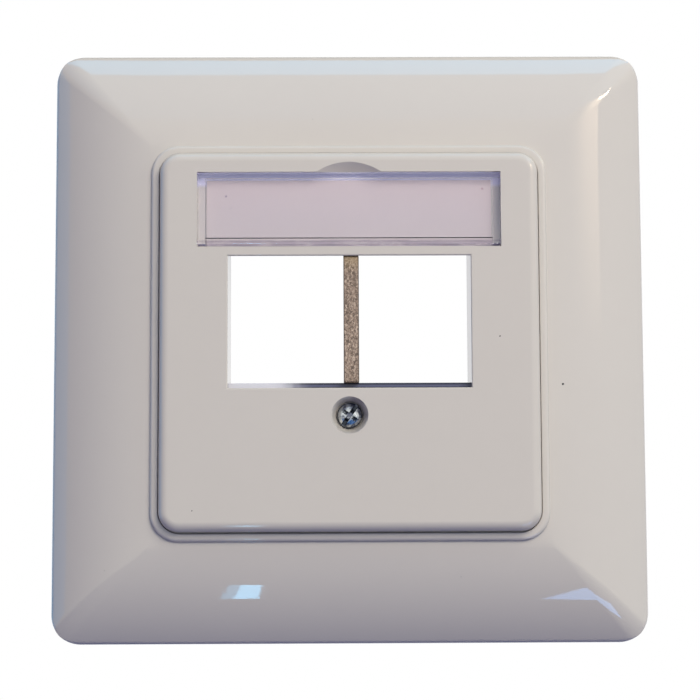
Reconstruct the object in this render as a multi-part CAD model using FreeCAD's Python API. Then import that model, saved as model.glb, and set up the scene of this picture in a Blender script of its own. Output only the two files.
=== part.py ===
import FreeCAD, Part
import math
import os

from FreeCAD import Rotation, Vector

# Keystone faceplate for flush mounting: domed frame, centre plate, label window and fixing screw.
# Every piece is drawn lying on its back, wall plane at z = 0 and room side up, then turned upright:
# x stays to the right, the drawing's y becomes the height and its z points out of the wall (row -Y).

# ---------------------------------------------------------------- driving dimensions (mm)
# outer frame
FRAME_SIDE = 80.0             # outer width and height
FRAME_CORNER_R = 4.0          # rounding of the outer corners, carried up the mitres
SKIRT_HEIGHT = 1.8            # upright outer edge, up to its rounding
SKIRT_EDGE_R = 1.3            # rounding between the upright edge and the domed flank
FLANK_R = 23.8                # radius of the domed flank
FLANK_TOP_SLOPE = 4.0         # slope of the flank where it meets the collar, degrees
FRAME_WALL = 1.8              # wall of the hollow frame
COLLAR_SIDE = 52.5            # raised square collar round the opening
COLLAR_TOP = 8.8              # height of the collar above the wall
COLLAR_CORNER_R = 3.7
COLLAR_EDGE_R = 0.5
LEDGE_WIDTH = 2.0             # inner ledge that the centre plate presses on
LEDGE_THICKNESS = 1.5
LEDGE_TOP = 5.0               # height of the ledge above the wall
LEDGE_CORNER_R = 1.0
FRAME_RIB = 1.0               # thickness of the ribs behind the flank
FRAME_RIB_SPACING = 17.0
RIB_SET_BACK = 0.6            # ribs and collar wall stop short of the wall plane

# centre plate
PLATE_SIDE = 50.0
PLATE_CORNER_R = 2.7
PLATE_EDGE_R = 1.3
PLATE_FACE = 11.0             # height of its face above the wall
PLATE_WALL = 2.0
PLATE_SKIRT_WALL = 1.6
PLATE_GAP = 0.2               # between the plate and the frame's opening, each side
PLATE_RIB = 1.0
PLATE_RIB_DEPTH = 2.2
SIDE_RIB_SPACING = 12.0       # between the two ribs on each side of the ports
LOWER_RIB_SPACING = 18.0      # between the two ribs below the ports

# ports
PORT_WIDTH = 14.95
PORT_HEIGHT = 17.4
PORT_CENTRE_Y = 2.4
PORT_EDGE_R = 0.2
PORT_LIP = 0.4                # upright front part of the ports' upper wall
PORT_DRAFT = 9.0              # slope of the rest of it, rising to the back, degrees
PORT_WALL = 1.2               # guide walls round the ports, behind the face
PORT_WALL_DEPTH = 5.5         # how far they run back
CATCH_HEIGHT = 0.8            # how far the dark catch strip stands up at the lower edge of the ports
CATCH_THICKNESS = 1.4
CATCH_GAP = 0.5               # between the plate's wall and the catch strip
CATCH_SEAT = 0.6              # how far the strip reaches into the guide walls
CATCH_PLAY = 0.05             # play of the strip in its seats
DIVIDER_WIDTH = 2.0
DIVIDER_DEPTH = 4.0           # behind the plate's wall
DIVIDER_SET_BACK = 0.4        # of the divider's front, behind the plate's face
DIVIDER_TOP_GAP = 0.12        # between its front part and the upper edge of the ports
DIVIDER_SHIFT = 0.25          # the divider has slid to one side in its seats
HOLDER_WALL = 1.0             # wall of the block that holds the divider's upper end
SEAT_PLAY = 0.3               # play on each side of the divider in its seats
SEAT_DEPTH = 0.6              # how far its ends reach into the guide walls
SEAT_END_GAP = 0.1

# label window
WINDOW_WIDTH = 40.0
WINDOW_HEIGHT = 10.0
BRIDGE_HEIGHT = 1.15          # strip of the face between the ports and the window
POCKET_DEPTH = 2.4
POCKET_FLOOR = 1.1
POCKET_RIM = 1.0              # wall round the pocket, behind the face
NOTCH_WIDTH = 8.5
NOTCH_RISE = 1.3
NOTCH_DEPTH = 1.0
COVER_GAP = 0.15              # between the cover and its recess, all round
COVER_FRONT = 0.8
COVER_WALL = 0.9
COVER_TOP_WALL = 0.6
COVER_TOP_DEPTH = 1.4         # the top wall is shallow, so that it clears the recess as it swings
COVER_TOP_RELIEF = 0.5
COVER_BACK_GAP = 0.1          # between the cover's walls and the pocket floor
HINGE_ROUND_R = 0.6           # round lower edge of the cover, centred on its pegs
PEG_R = 0.4
PEG_LENGTH = 0.6              # the pegs sit in blind holes beside the window
PEG_FIT = 0.05                # running clearance of the pegs, radial
PEG_END_GAP = 0.1
CARD_THICKNESS = 0.3
CARD_GAP = 0.1                # between the card and the cover's walls
CARD_TUCK = 0.15              # how far the card reaches under the cover's round edge, past its centre

# fixing screw
SCREW_DROP = 3.55             # from the lower edge of the ports to the screw's axis
SINK_R = 2.42                 # countersink at the face
SINK_FLOOR_R = 1.8
SINK_DEPTH = 1.9
HEAD_R = 1.65
HEAD_TOP = 9.9                # height of the top of the head above the wall
HEAD_DOME = 0.45              # rise of the domed top above its rim
HEAD_RIM = 0.55
HEAD_GAP = 0.1                # between the cone under the head and its seat
NECK_R = 0.8
THREAD_R = 1.0
THREAD_LENGTH = 3.4
TIP_CHAMFER = 0.3
TIP_SET_BACK = 0.6            # the screw's tip stays this far off the wall plane
SLOT_WIDTH = 0.5
SLOT_DEPTH = 0.5
SLOT_ANGLE = 55.0             # the slot's direction, degrees from x
CROSS_WIDTH = 0.42
CROSS_REACH = 1.05
CROSS_DEPTH = 1.0
BOSS_R = 3.6
BOSS_DEPTH = 2.6              # length of the boss behind the plate's wall
SHANK_GAP = 0.15              # between the thread and the boss's bore
WASHER_R = 2.1
WASHER_THICKNESS = 0.5
WASHER_FIT = 0.05             # running clearance round the neck, and above the thread
WASHER_SLIT = 0.3
WASHER_SLITS = 3

LOFT_STEPS = 6                # level lines in each arc of the domed frame
PAST = 1.0                    # how far a cutting body runs past what it cuts

# ---------------------------------------------------------------- sizes that follow
FRAME_HALF = FRAME_SIDE / 2
COLLAR_HALF = COLLAR_SIDE / 2
PLATE_HALF = PLATE_SIDE / 2
OPENING_HALF = PLATE_HALF + PLATE_GAP
PLATE_BACK = PLATE_FACE - PLATE_WALL
SKIRT_INSIDE = PLATE_HALF - PLATE_SKIRT_WALL

PORTS_HALF = PORT_WIDTH + DIVIDER_WIDTH / 2
PORTS_BOTTOM = PORT_CENTRE_Y - PORT_HEIGHT / 2
PORTS_TOP = PORT_CENTRE_Y + PORT_HEIGHT / 2
CATCH_FRONT = PLATE_BACK - CATCH_GAP
CATCH_BACK = CATCH_FRONT - CATCH_THICKNESS
DIVIDER_BACK = PLATE_BACK - DIVIDER_DEPTH

WINDOW_HALF = WINDOW_WIDTH / 2
WINDOW_BOTTOM = PORTS_TOP + BRIDGE_HEIGHT
WINDOW_TOP = WINDOW_BOTTOM + WINDOW_HEIGHT
POCKET_Z = PLATE_FACE - POCKET_DEPTH
COVER_HALF = WINDOW_HALF - COVER_GAP
COVER_TOP = WINDOW_TOP - COVER_GAP
COVER_BACK = POCKET_Z + COVER_BACK_GAP
HINGE_Y = WINDOW_BOTTOM + COVER_GAP + HINGE_ROUND_R
HINGE_Z = PLATE_FACE - HINGE_ROUND_R

SCREW_Y = PORTS_BOTTOM - SCREW_DROP
HEAD_RIM_TOP = HEAD_TOP - HEAD_DOME
HEAD_RIM_BOTTOM = HEAD_RIM_TOP - HEAD_RIM
NECK_TOP = HEAD_RIM_BOTTOM - (HEAD_R - NECK_R)
THREAD_TOP = TIP_SET_BACK + THREAD_LENGTH
BORE_R = THREAD_R + SHANK_GAP
BOSS_BACK = PLATE_BACK - BOSS_DEPTH


# ---------------------------------------------------------------- shared shapes
def block(x0, x1, y0, y1, z0, z1):
    """A box between two corners."""
    return Part.makeBox(x1 - x0, y1 - y0, z1 - z0, Vector(x0, y0, z0))


def rod(radius, x, y, z0, z1):
    """An upright round bar."""
    return Part.makeCylinder(radius, z1 - z0, Vector(x, y, z0))


def cross_rod(radius, x0, x1, y, z):
    """A round bar along x."""
    return Part.makeCylinder(radius, x1 - x0, Vector(x0, y, z), Vector(1, 0, 0))


def level_line(half, corner, z):
    """A level closed line: a square of the given half side with rounded corners."""
    flat = half - corner
    bend = flat + corner * math.sqrt(0.5)
    start, end = Vector(half, -flat, z), Vector(half, flat, z)
    middle, after = Vector(bend, bend, z), Vector(flat, half, z)
    edges = []
    for quarter in range(4):
        turn = Rotation(Vector(0, 0, 1), 90 * quarter)
        side = [turn.multVec(point) for point in (start, end)]
        round_corner = [turn.multVec(point) for point in (end, middle, after)]
        edges.append(Part.makeLine(*side))
        edges.append(Part.Arc(*round_corner).toShape())
    return Part.Wire(edges)


def square_prism(half, corner, z0, z1):
    """An upright square bar with rounded corners."""
    return Part.Face(level_line(half, corner, z0)).extrude(Vector(0, 0, z1 - z0))


def round_top(solid, radius):
    """Rounds every edge of the topmost face."""
    top = solid.BoundBox.ZMax
    rim = [e for e in solid.Edges if abs(e.BoundBox.ZMin - top) < 1e-4]
    return solid.makeFillet(radius, rim)


def quarter_turns(solid):
    """The solid and its copies at 90, 180 and 270 degrees about the centre line."""
    copies = []
    for quarter in range(4):
        copy = solid.copy()
        copy.rotate(Vector(0, 0, 0), Vector(0, 0, 1), 90 * quarter)
        copies.append(copy)
    return copies


def spread(count_each_side, spacing):
    """Places at equal spacing about zero."""
    return [spacing * step for step in range(-count_each_side, count_each_side + 1)]


# ---------------------------------------------------------------- outer frame
def arc_loft(centre, radius, corner, low_slope, high_slope):
    """Loft of level lines up one arc of the frame's section, from its steep end to its shallow one.
    The corner rounding shrinks with the slope, as a rolling ball's does along a mitre."""
    lines = []
    for step in range(LOFT_STEPS + 1):
        slope = low_slope + (high_slope - low_slope) * step / LOFT_STEPS
        half = centre.x + radius * math.sin(slope)
        height = centre.y + radius * math.cos(slope)
        lines.append(level_line(half, corner * math.sin(slope), height))
    return Part.makeLoft(lines, True, False)


def flank_arc():
    """Centre of the flank's arc in the section (x out from the middle, y up) and its slope at the edge."""
    top_slope = math.radians(FLANK_TOP_SLOPE)
    flank_x = COLLAR_HALF - FLANK_R * math.sin(top_slope)
    # the edge rounding touches the flank's arc from inside, where both have this slope
    reach = FRAME_HALF - SKIRT_EDGE_R - flank_x
    edge_slope = math.asin(reach / (FLANK_R - SKIRT_EDGE_R))
    return Vector(flank_x, SKIRT_HEIGHT - reach / math.tan(edge_slope)), edge_slope


def domed_body():
    """The frame's outer form: an upright skirt, its rounding and the domed flanks with soft mitres."""
    flank_centre, edge_slope = flank_arc()
    edge_centre = Vector(FRAME_HALF - SKIRT_EDGE_R, SKIRT_HEIGHT)
    skirt = square_prism(FRAME_HALF, FRAME_CORNER_R, 0, SKIRT_HEIGHT)
    edge = arc_loft(edge_centre, SKIRT_EDGE_R, FRAME_CORNER_R, math.pi / 2, edge_slope)
    top_slope = math.radians(FLANK_TOP_SLOPE)
    flank = arc_loft(flank_centre, FLANK_R, FRAME_CORNER_R, edge_slope, top_slope)
    return skirt.multiFuse([edge, flank])


def inner_form(wall):
    """The form that lies wall deep inside the domed one: its section is carried both ways and crossed."""
    centre, _ = flank_arc()
    radius = FLANK_R - wall
    half = FRAME_HALF - wall

    def on_arc(x):
        return centre.y + math.sqrt(radius ** 2 - (x - centre.x) ** 2)

    stations = (half, (half + COLLAR_HALF) / 2, COLLAR_HALF)
    right = [Vector(x, 0, on_arc(x)) for x in stations]
    left = [Vector(-point.x, 0, point.z) for point in reversed(right)]
    foot_right, foot_left = Vector(half, 0, 0), Vector(-half, 0, 0)
    edges = [Part.makeLine(foot_left, foot_right), Part.makeLine(foot_right, right[0]),
             Part.Arc(*right).toShape(), Part.makeLine(right[-1], left[0]),
             Part.Arc(*left).toShape(), Part.makeLine(left[-1], foot_left)]
    section = Part.Face(Part.Wire(edges))
    section.translate(Vector(0, -half, 0))
    bar = section.extrude(Vector(0, 2 * half, 0))
    return bar.common(quarter_turns(bar)[1])


def outer_frame():
    collar = round_top(square_prism(COLLAR_HALF, COLLAR_CORNER_R, RIB_SET_BACK, COLLAR_TOP), COLLAR_EDGE_R)
    core = square_prism(COLLAR_HALF, COLLAR_CORNER_R, -PAST, RIB_SET_BACK)
    shell = domed_body().cut(inner_form(FRAME_WALL)).fuse(collar).cut(core)
    ribs = []
    for y in spread(1, FRAME_RIB_SPACING):
        edge = FRAME_RIB / 2
        rib = block(COLLAR_HALF - edge, FRAME_HALF, y - edge, y + edge, RIB_SET_BACK, COLLAR_TOP)
        ribs += quarter_turns(rib)
    # the ribs reach half way into the shell's wall, so that they join it
    reach = inner_form(FRAME_WALL / 2)
    shell = shell.multiFuse([rib.common(reach) for rib in ribs])

    opening_corner = PLATE_CORNER_R + PLATE_GAP
    ledge_back = LEDGE_TOP - LEDGE_THICKNESS
    seat = square_prism(OPENING_HALF, opening_corner, LEDGE_TOP, COLLAR_TOP + PAST)
    through = square_prism(OPENING_HALF - LEDGE_WIDTH, LEDGE_CORNER_R, -PAST, COLLAR_TOP)
    below = square_prism(OPENING_HALF, opening_corner, -PAST, ledge_back)
    return shell.cut(seat.multiFuse([through, below])).removeSplitter()


# ---------------------------------------------------------------- centre plate
def finger_notch():
    """Shallow scoop above the window: a ball's cap, deepest at the window's edge."""
    circle_r = (NOTCH_WIDTH ** 2 / 4 + NOTCH_RISE ** 2) / (2 * NOTCH_RISE)
    to_edge = circle_r - NOTCH_RISE
    above = (circle_r ** 2 - to_edge ** 2 - NOTCH_DEPTH ** 2) / (2 * NOTCH_DEPTH)
    centre = Vector(0, WINDOW_TOP - to_edge, PLATE_FACE + above)
    ball = Part.makeSphere(math.hypot(circle_r, above), centre)
    keep = block(-NOTCH_WIDTH, NOTCH_WIDTH, WINDOW_TOP, WINDOW_TOP + 2 * NOTCH_RISE,
                 PLATE_FACE - 2 * NOTCH_DEPTH, PLATE_FACE + PAST)
    return ball.common(keep)


def peg_hole(side):
    """Blind hole that a peg of the cover snaps into, as the cover's side walls give way."""
    x0, x1 = sorted((side * COVER_HALF, side * (COVER_HALF + PEG_LENGTH + PEG_END_GAP)))
    return cross_rod(PEG_R + PEG_FIT, x0, x1, HINGE_Y, HINGE_Z)


def screw_hole():
    """Countersink at the face, a cone for the head to seat on and the bore through the boss."""
    sink_floor = PLATE_FACE - SINK_DEPTH
    seat_top = HEAD_RIM_BOTTOM + (SINK_FLOOR_R - HEAD_R) - HEAD_GAP
    seat_bottom = seat_top - (SINK_FLOOR_R - BORE_R)
    sink = Part.makeCone(SINK_FLOOR_R, SINK_R, SINK_DEPTH, Vector(0, SCREW_Y, sink_floor))
    well = rod(SINK_FLOOR_R, 0, SCREW_Y, seat_top, sink_floor)
    seat = Part.makeCone(BORE_R, SINK_FLOOR_R, seat_top - seat_bottom, Vector(0, SCREW_Y, seat_bottom))
    bore = rod(BORE_R, 0, SCREW_Y, BOSS_BACK - PAST, seat_bottom)
    return sink.multiFuse([well, seat, bore])


def port_guides(inside_face):
    """Guide walls behind the face, below and beside the ports, and the block above the divider."""
    back = PLATE_BACK - PORT_WALL_DEPTH
    guides = [block(-PORTS_HALF - PORT_WALL, PORTS_HALF + PORT_WALL, PORTS_BOTTOM - PORT_WALL,
                    PORTS_BOTTOM, back, inside_face)]
    for side in (-1, 1):
        x0, x1 = sorted((side * PORTS_HALF, side * (PORTS_HALF + PORT_WALL)))
        guides.append(block(x0, x1, PORTS_BOTTOM - PORT_WALL, PORTS_TOP + PORT_WALL, back, inside_face))
    half = DIVIDER_WIDTH / 2 + SEAT_PLAY + HOLDER_WALL
    guides.append(block(-half, half, PORTS_TOP, PORTS_TOP + SEAT_DEPTH + SEAT_END_GAP + HOLDER_WALL,
                        DIVIDER_BACK - SEAT_END_GAP - HOLDER_WALL, inside_face))
    return guides


def ports_cut():
    """The opening of both ports, cut right through. Its upper wall rises to the back behind a short lip."""
    straight = block(-PORTS_HALF, PORTS_HALF, PORTS_BOTTOM, PORTS_TOP, -PAST, PLATE_FACE + PAST)
    lip = PLATE_FACE - PORT_LIP
    rise = (lip + PAST) * math.tan(math.radians(PORT_DRAFT))
    outline = [Vector(-PORTS_HALF, PORTS_TOP - PAST, -PAST), Vector(-PORTS_HALF, PORTS_TOP - PAST, lip),
               Vector(-PORTS_HALF, PORTS_TOP, lip), Vector(-PORTS_HALF, PORTS_TOP + rise, -PAST)]
    wedge = Part.Face(Part.makePolygon(outline + outline[:1])).extrude(Vector(2 * PORTS_HALF, 0, 0))
    return straight.fuse(wedge)


def catch_seat():
    """Slot in the guide walls that the catch strip springs into."""
    half = PORTS_HALF + CATCH_SEAT + CATCH_PLAY
    return block(-half, half, PORTS_BOTTOM - CATCH_SEAT, PORTS_BOTTOM + CATCH_HEIGHT + CATCH_PLAY,
                 CATCH_BACK - CATCH_PLAY, CATCH_FRONT + CATCH_PLAY)


def divider_seats():
    """Slots in the guide walls for the two ends of the divider."""
    half = DIVIDER_WIDTH / 2 + SEAT_PLAY
    depth = SEAT_DEPTH + SEAT_END_GAP
    upper = block(-half, half, PORTS_TOP - PAST, PORTS_TOP + depth, DIVIDER_BACK - SEAT_END_GAP, PLATE_BACK)
    lower = block(-half, half, PORTS_BOTTOM - depth, PORTS_BOTTOM + PAST,
                  DIVIDER_BACK - SEAT_END_GAP, CATCH_BACK)
    return [upper, lower]


def plate_ribs():
    """Stiffening ribs between the guide walls, the boss and the skirt."""
    edge = PLATE_RIB / 2
    low, high = PLATE_BACK - PLATE_RIB_DEPTH, PLATE_FACE - PLATE_WALL / 2
    ribs = [block(-edge, edge, -SKIRT_INSIDE - edge, SCREW_Y, low, high)]
    for side in (-1, 1):
        x = side * LOWER_RIB_SPACING / 2
        ribs.append(block(x - edge, x + edge, -SKIRT_INSIDE - edge, PORTS_BOTTOM - edge, low, high))
        x0, x1 = sorted((side * (PORTS_HALF + edge), side * (SKIRT_INSIDE + edge)))
        for y in (PORT_CENTRE_Y - SIDE_RIB_SPACING / 2, PORT_CENTRE_Y + SIDE_RIB_SPACING / 2):
            ribs.append(block(x0, x1, y - edge, y + edge, low, high))
    return ribs


def centre_plate():
    body = round_top(square_prism(PLATE_HALF, PLATE_CORNER_R, LEDGE_TOP, PLATE_FACE), PLATE_EDGE_R)
    inner_corner = PLATE_CORNER_R - PLATE_SKIRT_WALL
    body = body.cut(square_prism(SKIRT_INSIDE, inner_corner, LEDGE_TOP - PAST, PLATE_BACK))
    inside_face = PLATE_FACE - PLATE_WALL / 2
    pocket = block(-WINDOW_HALF - POCKET_RIM, WINDOW_HALF + POCKET_RIM, WINDOW_BOTTOM - POCKET_RIM,
                   WINDOW_TOP + POCKET_RIM, POCKET_Z - POCKET_FLOOR, inside_face)
    boss = rod(BOSS_R, 0, SCREW_Y, BOSS_BACK, inside_face)
    body = body.multiFuse([pocket, boss] + port_guides(inside_face) + plate_ribs())

    window = block(-WINDOW_HALF, WINDOW_HALF, WINDOW_BOTTOM, WINDOW_TOP, POCKET_Z, PLATE_FACE + PAST)
    body = body.cut(ports_cut())
    body = body.makeFillet(PORT_EDGE_R, port_edges(body))
    body = body.cut(window.multiFuse([finger_notch(), peg_hole(-1), peg_hole(1)]))
    cuts = divider_seats() + [catch_seat(), screw_hole()]
    return body.cut(cuts[0].multiFuse(cuts[1:])).removeSplitter()


def port_edges(body):
    """The four edges of the port opening at the plate's face."""
    box = FreeCAD.BoundBox(-PORTS_HALF, PORTS_BOTTOM, PLATE_FACE, PORTS_HALF, PORTS_TOP, PLATE_FACE)
    box.enlarge(1e-3)
    return [e for e in body.Edges if box.isInside(e.BoundBox)]


def port_divider():
    """Upright bar between the ports: its ends sit behind the plate and it stands on the catch strip."""
    x0 = DIVIDER_SHIFT - DIVIDER_WIDTH / 2
    x1 = DIVIDER_SHIFT + DIVIDER_WIDTH / 2
    stand = PORTS_BOTTOM + CATCH_HEIGHT
    bar = block(x0, x1, stand, PORTS_TOP + SEAT_DEPTH, DIVIDER_BACK, PLATE_BACK)
    front = block(x0, x1, stand, PORTS_TOP - DIVIDER_TOP_GAP, DIVIDER_BACK, PLATE_FACE - DIVIDER_SET_BACK)
    foot = block(x0, x1, PORTS_BOTTOM - SEAT_DEPTH, PORTS_TOP, DIVIDER_BACK, CATCH_BACK - SEAT_END_GAP)
    return bar.multiFuse([front, foot]).removeSplitter()


def catch_strip():
    """Dark strip along the foot of both ports, its ends sprung into the guide walls."""
    half = PORTS_HALF + CATCH_SEAT
    return block(-half, half, PORTS_BOTTOM - CATCH_SEAT, PORTS_BOTTOM + CATCH_HEIGHT, CATCH_BACK, CATCH_FRONT)


# ---------------------------------------------------------------- label window
def label_cover():
    """Clear shallow tray with a round lower edge and a peg at each end of it."""
    front = block(-COVER_HALF, COVER_HALF, HINGE_Y, COVER_TOP, PLATE_FACE - COVER_FRONT, PLATE_FACE)
    top = block(-COVER_HALF, COVER_HALF, COVER_TOP - COVER_TOP_WALL, COVER_TOP,
                PLATE_FACE - COVER_TOP_DEPTH, PLATE_FACE)
    edge = cross_rod(HINGE_ROUND_R, -COVER_HALF, COVER_HALF, HINGE_Y, HINGE_Z)
    parts = [top, edge]
    for side in (-1, 1):
        x0, x1 = sorted((side * (COVER_HALF - COVER_WALL), side * COVER_HALF))
        parts.append(block(x0, x1, HINGE_Y, COVER_TOP - COVER_TOP_RELIEF, COVER_BACK, PLATE_FACE))
        x0, x1 = sorted((side * (COVER_HALF - COVER_WALL), side * (COVER_HALF + PEG_LENGTH)))
        parts.append(cross_rod(PEG_R, x0, x1, HINGE_Y, HINGE_Z))
    return front.multiFuse(parts).removeSplitter()


def label_card():
    half = COVER_HALF - COVER_WALL - CARD_GAP
    top = COVER_TOP - COVER_TOP_WALL - CARD_GAP
    return block(-half, half, HINGE_Y - CARD_TUCK, top, POCKET_Z, POCKET_Z + CARD_THICKNESS)


# ---------------------------------------------------------------- fixing screw
def fixing_screw():
    """Raised-head screw with a necked shank, a slot and a cross recess. The thread is a plain bar."""
    dome_r = (HEAD_R ** 2 + HEAD_DOME ** 2) / (2 * HEAD_DOME)
    half_way = HEAD_R / 2
    on_dome = Vector(half_way, 0, HEAD_TOP - dome_r + math.sqrt(dome_r ** 2 - half_way ** 2))
    points = [Vector(0, 0, TIP_SET_BACK), Vector(THREAD_R - TIP_CHAMFER, 0, TIP_SET_BACK),
              Vector(THREAD_R, 0, TIP_SET_BACK + TIP_CHAMFER), Vector(THREAD_R, 0, THREAD_TOP),
              Vector(NECK_R, 0, THREAD_TOP), Vector(NECK_R, 0, NECK_TOP),
              Vector(HEAD_R, 0, HEAD_RIM_BOTTOM), Vector(HEAD_R, 0, HEAD_RIM_TOP)]
    crown = Vector(0, 0, HEAD_TOP)
    edges = Part.makePolygon(points).Edges
    edges.append(Part.Arc(points[-1], on_dome, crown).toShape())
    edges.append(Part.makeLine(crown, points[0]))
    screw = Part.Face(Part.Wire(edges)).revolve(Vector(0, 0, 0), Vector(0, 0, 1), 360)

    slot_floor = HEAD_TOP - SLOT_DEPTH
    slot = block(-2 * HEAD_R, 2 * HEAD_R, -SLOT_WIDTH / 2, SLOT_WIDTH / 2, slot_floor, HEAD_TOP + PAST)
    cross_floor = HEAD_TOP - CROSS_DEPTH
    arm = block(-CROSS_REACH, CROSS_REACH, -CROSS_WIDTH / 2, CROSS_WIDTH / 2, cross_floor, HEAD_TOP)
    other = block(-CROSS_WIDTH / 2, CROSS_WIDTH / 2, -CROSS_REACH, CROSS_REACH, cross_floor, HEAD_TOP)
    taper = Part.makeCone(CROSS_WIDTH, CROSS_REACH, CROSS_DEPTH, Vector(0, 0, cross_floor))
    recess = arm.fuse(other).common(taper).fuse(slot)
    recess.rotate(Vector(0, 0, 0), Vector(0, 0, 1), SLOT_ANGLE)
    screw = screw.cut(recess)
    screw.translate(Vector(0, SCREW_Y, 0))
    return screw


def screw_washer():
    """Disc on the screw's neck, slit so that it snaps over the thread and then holds the screw in."""
    bottom = THREAD_TOP + WASHER_FIT
    disc = rod(WASHER_R, 0, 0, bottom, bottom + WASHER_THICKNESS)
    disc = disc.cut(rod(NECK_R + WASHER_FIT, 0, 0, bottom - PAST, bottom + PAST))
    slit_end = (NECK_R + WASHER_R) / 2
    for number in range(WASHER_SLITS):
        slit = block(0, slit_end, -WASHER_SLIT / 2, WASHER_SLIT / 2, bottom - PAST, bottom + PAST)
        slit.rotate(Vector(0, 0, 0), Vector(0, 0, 1), 360 * number / WASHER_SLITS)
        disc = disc.cut(slit)
    disc.translate(Vector(0, SCREW_Y, 0))
    return disc


# ---------------------------------------------------------------- files
PIECES = (outer_frame, centre_plate, port_divider, catch_strip, label_cover, label_card, fixing_screw, screw_washer)


def write(piece):
    """Builds a piece, turns it upright and writes its file."""
    shape = piece()
    shape.rotate(Vector(0, 0, 0), Vector(1, 0, 0), 90)
    solids = shape.Solids
    if len(solids) != 1 or not solids[0].isValid():
        raise ValueError(piece.__name__ + " is not one valid solid")
    solids[0].exportStep(os.path.join("parts", piece.__name__ + ".step"))
    print(piece.__name__, round(solids[0].Volume, 1), "mm3", len(solids[0].Faces), "faces")


os.makedirs("parts", exist_ok=True)
for one in PIECES:
    write(one)
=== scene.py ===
import math

import bpy
import numpy as np
from bpy.props import FloatProperty, FloatVectorProperty, PointerProperty
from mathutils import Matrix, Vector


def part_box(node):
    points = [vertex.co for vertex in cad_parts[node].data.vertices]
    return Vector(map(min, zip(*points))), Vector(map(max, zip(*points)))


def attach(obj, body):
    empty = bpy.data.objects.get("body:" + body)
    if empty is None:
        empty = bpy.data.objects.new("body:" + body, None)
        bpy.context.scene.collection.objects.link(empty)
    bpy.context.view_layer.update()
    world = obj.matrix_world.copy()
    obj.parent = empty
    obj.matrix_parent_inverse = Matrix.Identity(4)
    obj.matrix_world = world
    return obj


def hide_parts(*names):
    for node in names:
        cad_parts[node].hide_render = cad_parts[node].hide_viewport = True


bl_info = {
    "name": "Flush faceplate",
    "version": (1, 0, 0),
    "blender": (4, 5, 0),
    "location": "View3D > Sidebar > Faceplate",
    "description": "Dresses a wall faceplate with two ports, a label window and one fixing screw",
    "category": "Object",
}

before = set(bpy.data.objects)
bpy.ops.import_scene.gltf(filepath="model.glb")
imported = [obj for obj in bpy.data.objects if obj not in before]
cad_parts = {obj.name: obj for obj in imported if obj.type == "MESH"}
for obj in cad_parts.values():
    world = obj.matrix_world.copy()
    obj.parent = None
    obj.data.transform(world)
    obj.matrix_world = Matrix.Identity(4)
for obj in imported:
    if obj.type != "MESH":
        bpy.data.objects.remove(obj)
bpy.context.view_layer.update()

# Shapes are worked out in millimetres: x to the right, y up the wall and z out of it. upright() turns
# them into the frame's metres.
MM = 0.001


def high(node, axis):
    """Highest coordinate of a CAD node along an axis, in mm."""
    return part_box(node)[1][axis] / MM


def low(node, axis):
    """Lowest coordinate of a CAD node along an axis, in mm."""
    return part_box(node)[0][axis] / MM


FRAME_HALF = high("outer_frame", 0)
COLLAR_TOP = -low("outer_frame", 1)
PLATE_FACE = -low("centre_plate", 1)
SCREW_Y = (high("fixing_screw", 2) + low("fixing_screw", 2)) / 2
HEAD_R = high("fixing_screw", 0)
HEAD_TOP = -low("fixing_screw", 1)
SCREW_TIP = -high("fixing_screw", 1)
CARD_FACE = 8.9  # height at which the card's marks lie, above the wall
WINDOW_HALF = 20.0  # half the width of the window's recess
POCKET_DEPTH = 2.4  # depth of that recess
COLLAR_SLOPE = 4.0  # slope of the dome where it meets the collar, degrees
RIB_SET_BACK = 0.6  # ribs and collar wall stop short of the wall plane
CROSS_REACH = 1.05  # how far the arms of the cross recess run from the screw's axis
SHARP_ANGLE = 40  # edges of the CAD nodes sharper than this are rounded, degrees
SIDE_POINTS, BEND_POINTS = 10, 14  # points along a side and round a corner of the frame
ROUND_POINTS = 192  # points round the screw
THREAD_ROWS = 12  # rows in one turn of the thread
THREAD_DEPTH = 0.24


# ---- sizes and colours a user would change
def length(name, description, default):
    """A length in metres, shown in the scene's own units."""
    return FloatProperty(name=name, description=description, default=default * MM, min=0,
                         unit="LENGTH", subtype="DISTANCE", precision=5)


def colour(name, description, default):
    return FloatVectorProperty(name=name, description=description, default=default, size=3,
                               min=0, max=1, subtype="COLOR")


def share(name, description, default):
    return FloatProperty(name=name, description=description, default=default, min=0, max=1,
                         subtype="FACTOR")


class FACEPLATE_PG_frame(bpy.types.PropertyGroup):
    """Section of the domed frame."""
    corner: length("Corner radius", "Rounding of the outer corners, carried up the mitres", 4.0)
    skirt: length("Skirt height", "Upright outer edge, up to its rounding", 1.8)
    skirt_edge: length("Edge radius", "Rounding between the upright edge and the dome", 1.3)
    dome: length("Dome radius", "Radius of the domed flank", 23.8)
    wall: length("Wall", "Wall of the hollow frame", 1.8)
    collar: length("Collar side", "Side of the raised square collar", 52.5)
    collar_corner: length("Collar corner", "Corner radius of the collar", 3.7)
    collar_edge: length("Collar edge", "Rounding of the collar's upper edge", 0.5)
    opening: length("Opening side", "Side of the opening for the centre plate", 50.4)
    opening_corner: length("Opening corner", "Corner radius of the opening", 2.9)
    ledge_top: length("Ledge height", "Height of the inner ledge above the wall", 5.0)
    ledge_width: length("Ledge width", "Width of the inner ledge", 2.0)
    ledge: length("Ledge thickness", "Thickness of the inner ledge", 1.5)
    rib: length("Rib", "Thickness of the ribs behind the dome", 1.0)
    rib_spacing: length("Rib spacing", "Distance between the ribs on each side", 17.0)


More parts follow.
